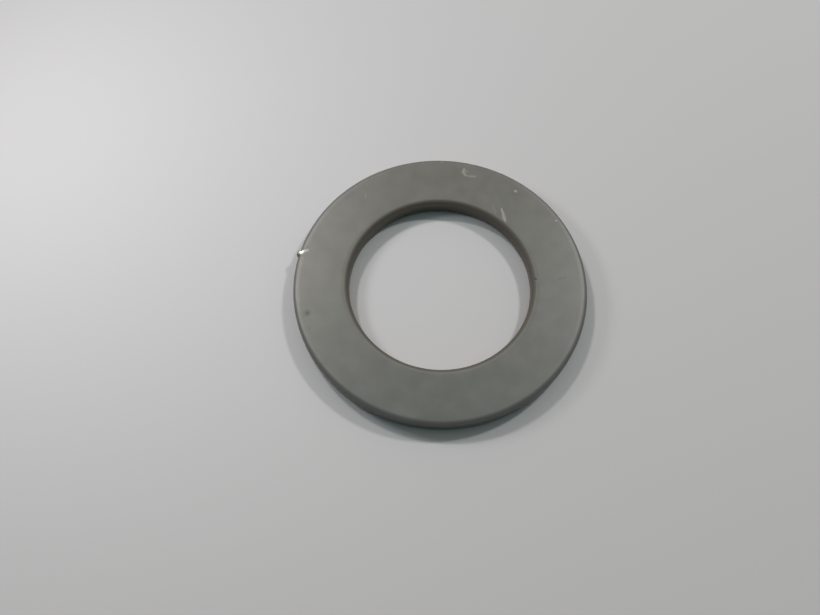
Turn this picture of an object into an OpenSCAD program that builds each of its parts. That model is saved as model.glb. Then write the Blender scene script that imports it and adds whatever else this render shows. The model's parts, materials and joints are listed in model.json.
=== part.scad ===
// A flat ring washer: ground faces, rounded edges, and one small burr
// knocked up on the rim. It lies on its lower face, with the bore along +Z.

/* [Ring] */
// Diameter of the bore
bore_d = 28; // [16:0.5:40]
// Width of the ring from the bore to the rim
ring_w = 8.5; // [5:0.1:14]
// Thickness from face to face
thickness = 3; // [2:0.1:6]

/* [Edges] */
// Radius of the rounds between the faces and the rim
rim_round = 0.8; // [0.2:0.05:0.9]
// Radius of the rounds between the faces and the bore
bore_round = 0.9; // [0.2:0.05:0.9]

/* [Burr] */
// Width of the bead of metal on the rim
burr_d = 1.4; // [0.8:0.1:1.5]
// How far the bead stands out from the rim
burr_proud = 0.4; // [0.1:0.05:0.6]
// How far the top of the bead lies below the upper face
burr_drop = 0.05; // [0.02:0.01:0.3]
// Direction of the bead from the bore's axis, counter-clockwise from +X
burr_angle = 172; // [0:1:359]

/* [Hidden] */

$fn = 180;
bore_r = bore_d / 2;
outer_r = bore_r + ring_w;

// A round is never larger than what the wall's thickness leaves room for
round_share = 0.45;
rim_edge = min(rim_round, round_share * thickness);
bore_edge = min(bore_round, round_share * thickness);

// The cutters reach this far outside the metal
overcut = 1;

// Middle of the bead, from the axis and from the lower face
burr_r = outer_r + burr_proud - burr_d / 2;
burr_z = thickness - burr_drop - burr_d / 2;

// What a round of radius r takes off a square corner at the origin
module corner_waste(r) {
    difference() {
        translate([-overcut, -overcut])
            square(r + overcut);
        translate([r, r])
            circle(r);
    }
}

// Half of the ring's cross-section: across is the radius, up is the height
module ring_section() {
    difference() {
        translate([bore_r, 0])
            square([ring_w, thickness]);
        for (upper = [0, 1]) {
            translate([bore_r, upper * thickness])
                mirror([0, upper])
                    corner_waste(bore_edge);
            translate([outer_r, upper * thickness])
                mirror([0, upper])
                    mirror([1, 0])
                        corner_waste(rim_edge);
        }
    }
}

// The bead of metal pushed out of the rim by a knock
module burr() {
    rotate([0, 0, burr_angle])
        translate([burr_r, 0, burr_z])
            sphere(d = burr_d);
}

module washer() {
    color("#83817b")
        union() {
            rotate_extrude()
                ring_section();
            burr();
        }
}

washer();
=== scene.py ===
"""A flat ring washer in satin ground steel, lying on a pale bench."""
import json
import math

import bmesh
import bpy
from mathutils import Euler, Matrix, Vector
from mathutils.geometry import intersect_point_line


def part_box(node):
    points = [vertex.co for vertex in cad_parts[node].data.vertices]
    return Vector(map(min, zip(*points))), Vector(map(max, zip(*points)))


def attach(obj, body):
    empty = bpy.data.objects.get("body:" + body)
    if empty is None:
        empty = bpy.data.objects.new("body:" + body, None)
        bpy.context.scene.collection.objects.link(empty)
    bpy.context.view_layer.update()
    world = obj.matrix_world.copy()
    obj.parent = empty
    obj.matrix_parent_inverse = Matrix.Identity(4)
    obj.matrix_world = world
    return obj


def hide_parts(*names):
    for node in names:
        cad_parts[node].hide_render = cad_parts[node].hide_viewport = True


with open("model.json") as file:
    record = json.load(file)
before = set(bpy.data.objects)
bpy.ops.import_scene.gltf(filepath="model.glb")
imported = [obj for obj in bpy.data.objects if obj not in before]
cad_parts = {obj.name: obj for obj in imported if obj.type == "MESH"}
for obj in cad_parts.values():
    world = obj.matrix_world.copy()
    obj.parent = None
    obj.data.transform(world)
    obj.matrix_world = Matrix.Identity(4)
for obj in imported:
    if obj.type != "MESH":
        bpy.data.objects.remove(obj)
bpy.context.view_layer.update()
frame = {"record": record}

# The washer's ring
# One flat ring of plain carbon steel: its bore is punched, its rim is turned, its corners are
# tumbled round, and both faces are ground flat. It lies loose on its lower face.
mm = 0.001
low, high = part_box("washer")
rim_r = high.y
base_z = low.z
top_z = high.z
bore_r = frame["record"]["mounts"][0]["dims"]["r_mm"] * mm
rim_round = 0.8 * mm
bore_round = 0.9 * mm
round_steps = 8
face_step = 0.34 * mm
turn_steps = 480
corner_slack = 0.01 * mm
weld_gap = 0.001 * mm

blank = bmesh.new()
corners = [blank.verts.new((r, 0, z)) for z in (base_z, top_z) for r in (bore_r, rim_r)]
blank.faces.new([corners[i] for i in (0, 1, 3, 2)])
for edge_r, edge_round in ((bore_r, bore_round), (rim_r, rim_round)):
    bmesh.ops.bevel(blank, geom=[v for v in blank.verts if abs(v.co.x - edge_r) < corner_slack],
                    offset=edge_round, segments=round_steps, profile=0.5, material=-1,
                    affect="VERTICES")
for edge in blank.edges[:]:
    cuts = math.ceil(edge.calc_length() / face_step) - 1
    if cuts > 0:
        bmesh.ops.subdivide_edges(blank, edges=[edge], cuts=cuts)
bmesh.ops.delete(blank, geom=blank.faces[:], context="FACES_ONLY")
bmesh.ops.spin(blank, geom=blank.verts[:] + blank.edges[:], cent=(0, 0, 0), axis=(0, 0, 1),
               angle=math.tau, steps=turn_steps, use_merge=True)
bmesh.ops.remove_doubles(blank, verts=blank.verts[:], dist=weld_gap)
bmesh.ops.recalc_face_normals(blank, faces=blank.faces[:])

# The spin leaves its faces in a chance order, so the ring takes them over in a fixed one
ring = bmesh.new()
fresh = ring.verts.layers.float.new("fresh_cut")
# A darkening layer for the stains, a darker pit and painted shade in the nick at the bore's edge
stain_and_shade = ring.verts.layers.float.new("stain_and_shade")
blank.verts.index_update()
spun = [ring.verts.new(v.co) for v in blank.verts]
for places in sorted([v.index for v in face.verts] for face in blank.faces):
    ring.faces.new([spun[i] for i in places])
ring.normal_update()
blank.free()


# Scratches and pits of the upper face
# Handling has left a few gouges that show bright metal, some pits and some stains, and a nick in the
# bore's edge whose dark colour is painted shade. They are pressed into the face, where the mesh is first
# cut finer.
marked_depth = 0.7 * mm
search_margin = 1 * mm
cut_steps = ((0.5 * mm, 0.15 * mm), (0.15 * mm, 0.05 * mm))


def nearness(spot, line):
    """How near a spot in plan lies to a mark: 0 on its middle line, 1 or more outside it."""
    shares = [(spot - Vector((x, y))).length / half for x, y, half in line]
    for (x0, y0, half0), (x1, y1, half1) in zip(line, line[1:]):
        foot, along = intersect_point_line(spot, (x0, y0), (x1, y1))
        if 0 < along < 1:
            shares.append((spot - foot.xy).length / (half0 + along * (half1 - half0)))
    return min(shares)


def press(layer, amount, depth, *line):
    """Presses a soft-edged mark into the upper face and notes it in a layer."""
    line = [(x * mm, y * mm, half * mm) for x, y, half in line]
    middle = sum((Vector((x, y)) for x, y, half in line), Vector((0, 0))) / len(line)
    span = max((Vector((x, y)) - middle).length + half for x, y, half in line) + search_margin
    for margin, finest in cut_steps:
        wide = [(x, y, half + margin) for x, y, half in line]
        near = {v for v in ring.verts if v.co.z > top_z - marked_depth
                and (v.co.xy - middle).length < span and nearness(v.co.xy, wide) < 1}
        cut = [e for e in ring.edges if e.verts[0] in near and e.verts[1] in near
               and e.calc_length() > finest]
        bmesh.ops.subdivide_edges(ring, edges=cut, cuts=2, use_grid_fill=True)
    for vert in ring.verts:
        if vert.co.z > top_z - marked_depth and (vert.co.xy - middle).length < span:
            share = nearness(vert.co.xy, line)
            if share < 1:
                swell = (1 - share * share) ** 2
                vert.co.z -= depth * mm * swell
                vert[layer] = max(vert[layer], amount * swell)


# Each mark: layer, strength, depth, then its points in plan with the half width there, in millimetres
press(fresh, 0.72, 0.010,
      (2.45, 20.85, 0.20), (2.33, 20.30, 0.42), (2.45, 19.90, 0.34), (2.80, 19.5, 0.22))
press(fresh, 0.30, 0.003, (2.75, 20.3, 0.50))
press(fresh, 0.34, 0.004, (2.75, 19.55, 0.24), (3.6, 19.45, 0.36), (4.35, 19.50, 0.28))
press(fresh, 0.75, 0.010,
      (8.85, 13.75, 0.18), (9.15, 12.9, 0.32), (9.35, 12.1, 0.42), (9.55, 11.5, 0.22))
press(fresh, 0.15, 0.004, (7.45, 14.3, 0.22), (7.95, 12.9, 0.26))
press(fresh, 1.00, 0.012, (11.0, 17.25, 0.36))
press(stain_and_shade, 0.20, 0.004, (10.55, 16.55, 0.35))
press(fresh, 0.80, 0.010, (17.6, 12.3, 0.22))
press(fresh, 0.20, 0.003, (-13.1, 14.6, 0.14), (-13.05, 13.7, 0.16))
press(fresh, 0.18, 0.003, (-4.3, 21.27, 0.22))
press(fresh, 0.18, 0.003, (-1.6, 21.7, 0.18), (-1.1, 21.75, 0.18))
# Darker marks: a pit, two stains and a faint streak, then the nick at the bore's edge
press(stain_and_shade, 0.60, 0.006, (-19.40, -7.05, 0.75))
press(fresh, 0.50, 0.006, (-21.30, 3.44, 0.38), (-21.05, 3.58, 0.36))
press(stain_and_shade, 0.20, 0.004, (-18.70, -9.40, 0.45))
press(stain_and_shade, 0.14, 0.003, (18.0, 2.0, 0.35), (19.0, 2.3, 0.35))
# The nick in the bore's edge: its dark colour is painted shade in the nick
press(stain_and_shade, 0.85, 0.030, (14.5, 1.75, 0.28), (14.72, 1.65, 0.16))

# The burr on the rim
# A knock has flattened the rim's edge to a small shiny facet and pushed a bead of metal out
# over the side. The bead stands where the solid model has it.
burr_d = 1.4 * mm
burr_proud = 0.4 * mm
burr_drop = 0.05 * mm
burr_turn = math.radians(172)
bead_shine = 0.15
out = Vector((math.cos(burr_turn), math.sin(burr_turn), 0))
burr = out * (rim_r + burr_proud - burr_d / 2) + Vector((0, 0, top_z - burr_drop - burr_d / 2))
for reach, finest in ((1.5 * mm, 0.1 * mm), (1.2 * mm, 0.04 * mm)):
    near = {v for v in ring.verts if (v.co - burr).length < reach}
    cut = [e for e in ring.edges if e.verts[0] in near and e.verts[1] in near
           and e.calc_length() > finest]
    bmesh.ops.subdivide_edges(ring, edges=cut, cuts=2, use_grid_fill=True)
ring.normal_update()
moves = {}
for vert in ring.verts:
    to_centre = burr - vert.co
    if to_centre.length < burr_d:
        along = to_centre.dot(vert.normal)
        chord = (burr_d / 2) ** 2 - (to_centre.length_squared - along * along)
        if chord > 0 and along + math.sqrt(chord) > 0:
            moves[vert] = vert.normal * (along + math.sqrt(chord))
for vert, move in moves.items():
    vert.co += move
    vert[fresh] = max(vert[fresh], bead_shine)

# The facet is a very shallow dome, which gives its glint a soft edge
facet_tilt = math.radians(9.5)
facet_turn = math.radians(171.5)
facet_out = Vector((math.cos(facet_turn), math.sin(facet_turn), 0))
facet_up = Vector((0, 0, math.cos(facet_tilt))) + facet_out * math.sin(facet_tilt)
facet_inset = 0.4 * mm
facet_drop = 0.08 * mm
facet_spot = facet_out * (rim_r - facet_inset) + Vector((0, 0, top_z - facet_drop))
facet_reach = 0.48 * mm
dome_r = 3 * mm
dome = facet_spot - facet_up * dome_r
for vert in ring.verts:
    share = (vert.co - facet_spot).length / facet_reach
    above = (vert.co - dome).length - dome_r
    if share < 1 and above > 0:
        vert.co -= (vert.co - dome).normalized() * above
        vert[fresh] = max(vert[fresh], 1 - share ** 2)

# Where the finer mesh meets the coarser one, the many-sided faces become well-shaped triangles
sliver = 0.0005 * mm
many_sided = [f for f in ring.faces if len(f.verts) > 4]
bmesh.ops.triangulate(ring, faces=many_sided, quad_method="BEAUTY", ngon_method="BEAUTY")
bmesh.ops.dissolve_degenerate(ring, dist=sliver, edges=ring.edges[:])

washer_mesh = bpy.data.meshes.new("ground_ring")
ring.to_mesh(washer_mesh)
ring.free()
washer_mesh.shade_smooth()
washer = bpy.data.objects.new("ground_ring", washer_mesh)
bpy.context.scene.collection.objects.link(washer)
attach(washer, "root")
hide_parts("washer")


# Ground carbon steel
# Surface grinding leaves a satin grey with very fine lines and a little mottling. The turned rim
# is a little darker, the punched bore is dull and browner, and a fresh gouge shows clean steel.
def to_linear(colour):
    """A '#rrggbb' colour as linear red, green, blue and alpha."""
    parts = [int(colour[i:i + 2], 16) / 255 for i in (1, 3, 5)]
    return [p / 12.92 if p <= 0.04045 else ((p + 0.055) / 1.055) ** 2.4 for p in parts] + [1.0]


def add(tree, kind, inputs, out=None, **settings):
    """Adds a node with its settings, sets or links its inputs, and returns the named or first output."""
    node = tree.nodes.new(kind)
    for name, value in settings.items():
        setattr(node, name, value)
    for key, value in inputs.items():
        socket = next(s for i, s in enumerate(node.inputs) if s.enabled and key in (i, s.name))
        if isinstance(value, bpy.types.NodeSocket):
            tree.links.new(value, socket)
        else:
            socket.default_value = value
    return next(s for s in node.outputs if s.enabled and out in (None, s.name))


steel = bpy.data.materials.new("ground_carbon_steel")
steel.use_nodes = True
tree = steel.node_tree
place = add(tree, "ShaderNodeTexCoord", {}, out="Object")

mottle_size = 2.5 * mm
mottle = add(tree, "ShaderNodeTexNoise", {"Vector": place, "Scale": 1 / mottle_size, "Detail": 4})
dark_satin = to_linear("#5f6161")
pale_satin = to_linear("#6b6d6c")
colour = add(tree, "ShaderNodeMix", {"Factor": mottle, "A": dark_satin, "B": pale_satin}, data_type="RGBA")

# How far a point lies out on the rounds and walls, from its distance to the axis
plan = add(tree, "ShaderNodeVectorMath", {0: place, 1: (1, 1, 0)}, operation="MULTIPLY")
radius = add(tree, "ShaderNodeVectorMath", {0: plan}, operation="LENGTH")
bands = []
for start, end in ((rim_r - 0.95 * mm, rim_r - 0.68 * mm), (rim_r - 0.1 * mm, rim_r - 0.01 * mm),
                   (bore_r + bore_round, bore_r + 0.5 * mm), (bore_r + 0.8 * mm, bore_r + 0.15 * mm),
                   (bore_r + 0.3 * mm, bore_r + 0.05 * mm)):
    bands.append(add(tree, "ShaderNodeMapRange", {"Value": radius, "From Min": start, "From Max": end},
                     interpolation_type="SMOOTHSTEP"))
rim_edge, rim_wall, bore_edge, bore_side, bore_wall = bands

# The darkening layer: stains, a darker pit, and painted shade in the nick at the bore's edge
stain_and_shade_share = add(tree, "ShaderNodeAttribute", {}, out="Fac", attribute_name="stain_and_shade")
gouge = add(tree, "ShaderNodeAttribute", {}, out="Fac", attribute_name="fresh_cut")
turned_rim = to_linear("#5a5a53")
punched_bore = to_linear("#58544c")
stain_and_shade_tone = to_linear("#3c3a36")
clean_steel = to_linear("#a2a49f")
for share, shade in ((rim_wall, turned_rim), (bore_side, punched_bore), (stain_and_shade_share, stain_and_shade_tone),
                     (gouge, clean_steel)):
    colour = add(tree, "ShaderNodeMix", {"Factor": share, "A": colour, "B": shade}, data_type="RGBA")

# The faces are satin, the rim's edge is tumbled, the bore's edge is torn and dull, and the walls
# and the fresh cuts are smoother
wall = add(tree, "ShaderNodeMath", {0: rim_wall, 1: bore_wall}, operation="MAXIMUM")
roughness = add(tree, "ShaderNodeMapRange", {"Value": mottle, "To Min": 0.37, "To Max": 0.46})
for share, rough in ((rim_edge, 0.52), (bore_edge, 0.8), (wall, 0.35), (gouge, 0.3)):
    roughness = add(tree, "ShaderNodeMix", {"Factor": share, "A": roughness, "B": rough})

# A thin oxide film dulls the metal's mirror, and a fresh cut is bare
film = add(tree, "ShaderNodeMapRange", {"Value": gouge, "To Min": 0.55, "To Max": 1.0})

# Grinding lines run along Y on the faces, turning lines round the rim and punching streaks down the
# bore. Real ones are finer and are drawn here just wide enough to show
mark_pitch = 0.2 * mm
mark_length = 6 * mm
mark_depth = 0.01 * mm
streaks = []
for scale, height in (((1 / mark_pitch, 1 / mark_length, 1 / mark_pitch), 1),
                      ((1 / mark_length, 1 / mark_length, 1 / mark_pitch), 4),
                      ((1 / mark_pitch, 1 / mark_pitch, 1 / mark_length), 4)):
    along = add(tree, "ShaderNodeMapping", {"Vector": place, "Scale": scale})
    grain = add(tree, "ShaderNodeTexNoise", {"Vector": along, "Scale": 1, "Detail": 3})
    streaks.append(add(tree, "ShaderNodeMath", {0: grain, 1: height}, operation="MULTIPLY"))
lathed = add(tree, "ShaderNodeMix", {"Factor": rim_wall, "A": streaks[0], "B": streaks[1]})
tooled = add(tree, "ShaderNodeMix", {"Factor": bore_wall, "A": lathed, "B": streaks[2]})
bump = add(tree, "ShaderNodeBump", {"Height": tooled, "Strength": 0.4, "Distance": mark_depth})

shader = tree.nodes["Principled BSDF"]
tree.links.new(film, shader.inputs["Metallic"])
tree.links.new(colour, shader.inputs["Base Color"])
tree.links.new(roughness, shader.inputs["Roughness"])
tree.links.new(bump, shader.inputs["Normal"])
washer_mesh.materials.append(steel)

# Bench top
# A plain pale matt board, which fades into the pale backdrop well away from the washer. It isn't
# part of the washer.
bench_half = 1.0
fade_start = 0.095
fade_end = 0.22
bench_mesh = bpy.data.meshes.new("bench_top")
board = bmesh.new()
bmesh.ops.create_grid(board, x_segments=1, y_segments=1, size=bench_half)
bmesh.ops.translate(board, verts=board.verts[:], vec=(0, 0, base_z))
board.to_mesh(bench_mesh)
board.free()
bench = bpy.data.objects.new("bench_top", bench_mesh)
bpy.context.scene.collection.objects.link(bench)
paint = bpy.data.materials.new("matt_white_laminate")
paint.use_nodes = True
board_tree = paint.node_tree
laminate = board_tree.nodes["Principled BSDF"]
laminate.inputs["Base Color"].default_value = to_linear("#b5b7bd")
laminate.inputs["Roughness"].default_value = 0.8
spot = add(board_tree, "ShaderNodeTexCoord", {}, out="Object")
away = add(board_tree, "ShaderNodeVectorMath", {0: spot}, operation="LENGTH")
cover = add(board_tree, "ShaderNodeMapRange", {
    "Value": away, "From Min": fade_end, "From Max": fade_start}, interpolation_type="SMOOTHSTEP")
board_tree.links.new(cover, laminate.inputs["Alpha"])
bench_mesh.materials.append(paint)

# Light
# Two lamps stand behind the washer, left and right, with a lower one at the left. The room is pale
# at the back, cool overhead and dim on the viewer's side. A share of 1 shows the bench as written.

# Each lamp: turn and lift in degrees, distance and width in metres, share of the light, tint
for name, turn, lift, distance, size, share, tint in (
        ("lamp_left", 133, 48.2, 0.42, 0.047, 0.265, "#fff7f2"),
        ("lamp_right", 46.4, 46.3, 0.46, 0.047, 0.26, "#fffcf8"),
        ("lamp_fill", 165, 37, 0.115, 0.028, 0.175, "#fffaf8")):
    lamp = bpy.data.lights.new(name, "AREA")
    lamp.shape = "DISK"
    lamp.size = size
    lamp.color = to_linear(tint)[:3]
    lamp.energy = share * math.pi ** 2 * distance ** 2 / math.sin(math.radians(lift))
    stand = bpy.data.objects.new(name, lamp)
    aim = Euler((0, -math.radians(lift), math.radians(turn))).to_matrix() @ Vector((1, 0, 0))
    stand.location = aim * distance
    stand.rotation_euler = aim.to_track_quat("Z", "Y").to_euler()
    bpy.context.scene.collection.objects.link(stand)

room = bpy.data.worlds.new("room")
room.use_nodes = True
sky = room.node_tree
way = add(sky, "ShaderNodeTexCoord", {}, out="Generated")
ahead = add(sky, "ShaderNodeSeparateXYZ", {0: way}, out="Y")
height = add(sky, "ShaderNodeSeparateXYZ", {0: way}, out="Z")
zones = []
for value, start, end in ((ahead, -0.6, 0.35), (height, 0.85, 0.97), (height, 0.3, 0.15)):
    zones.append(add(sky, "ShaderNodeMapRange", {"Value": value, "From Min": start, "From Max": end},
                     interpolation_type="SMOOTHSTEP"))
open_side, ceiling, horizon = zones

# The viewer's side is dim in the light it gives, and paler where it is seen or mirrored
camera_ray = add(sky, "ShaderNodeLightPath", {}, out="Is Camera Ray")
glossy_ray = camera_ray.node.outputs["Is Glossy Ray"]
clear_ray = camera_ray.node.outputs["Is Transmission Ray"]
mirrored = add(sky, "ShaderNodeMath", {0: glossy_ray, 1: clear_ray}, operation="MAXIMUM")
shown = add(sky, "ShaderNodeMath", {0: camera_ray, 1: mirrored}, operation="MAXIMUM")
viewer_light = to_linear("#3c5258")
viewer_shown = to_linear("#8d9698")
back_wall = to_linear("#cdbdae")
cool_roof = to_linear("#86aea1")
front_haze = to_linear("#a2a3a2")
back_haze = to_linear("#bababa")
near_side = add(sky, "ShaderNodeMix", {"Factor": shown, "A": viewer_light, "B": viewer_shown},
                data_type="RGBA")
walls = add(sky, "ShaderNodeMix", {"Factor": open_side, "A": near_side, "B": back_wall}, data_type="RGBA")
roofed = add(sky, "ShaderNodeMix", {"Factor": ceiling, "A": walls, "B": cool_roof}, data_type="RGBA")
backdrop = add(sky, "ShaderNodeMix", {"Factor": open_side, "A": front_haze, "B": back_haze},
               data_type="RGBA")
glow = add(sky, "ShaderNodeMix", {"Factor": horizon, "A": roofed, "B": backdrop}, data_type="RGBA")
sky.links.new(glow, sky.nodes["Background"].inputs["Color"])
sky.nodes["Background"].inputs["Strength"].default_value = 1
bpy.context.scene.world = room

# Camera
# A short lens close above the washer, with the washer a little right of the middle.
image_width = 820
focal_px = 740.74
camera_distance = 113.35 * mm
camera_lift = math.radians(63.97)
camera_roll = math.radians(4.653)
washer_right = math.radians(2.329)
washer_up = math.radians(2.018)
target = Vector((0, 0, top_z))
back = Vector((0, -math.cos(camera_lift), math.sin(camera_lift)))
camera_turn = (back.to_track_quat("Z", "Y").to_matrix() @ Matrix.Rotation(camera_roll, 3, "Z")
               @ Euler((washer_up, -washer_right, 0)).to_matrix().inverted())
lens = bpy.data.cameras.new("camera")
lens.sensor_width = 36
lens.lens = focal_px * lens.sensor_width / image_width
lens.clip_start = 1 * mm
camera = bpy.data.objects.new("camera", lens)
camera.matrix_world = Matrix.Translation(target + back * camera_distance) @ camera_turn.to_4x4()
bpy.context.scene.collection.objects.link(camera)
bpy.context.scene.camera = camera
bpy.context.scene.view_settings.view_transform = "Standard"
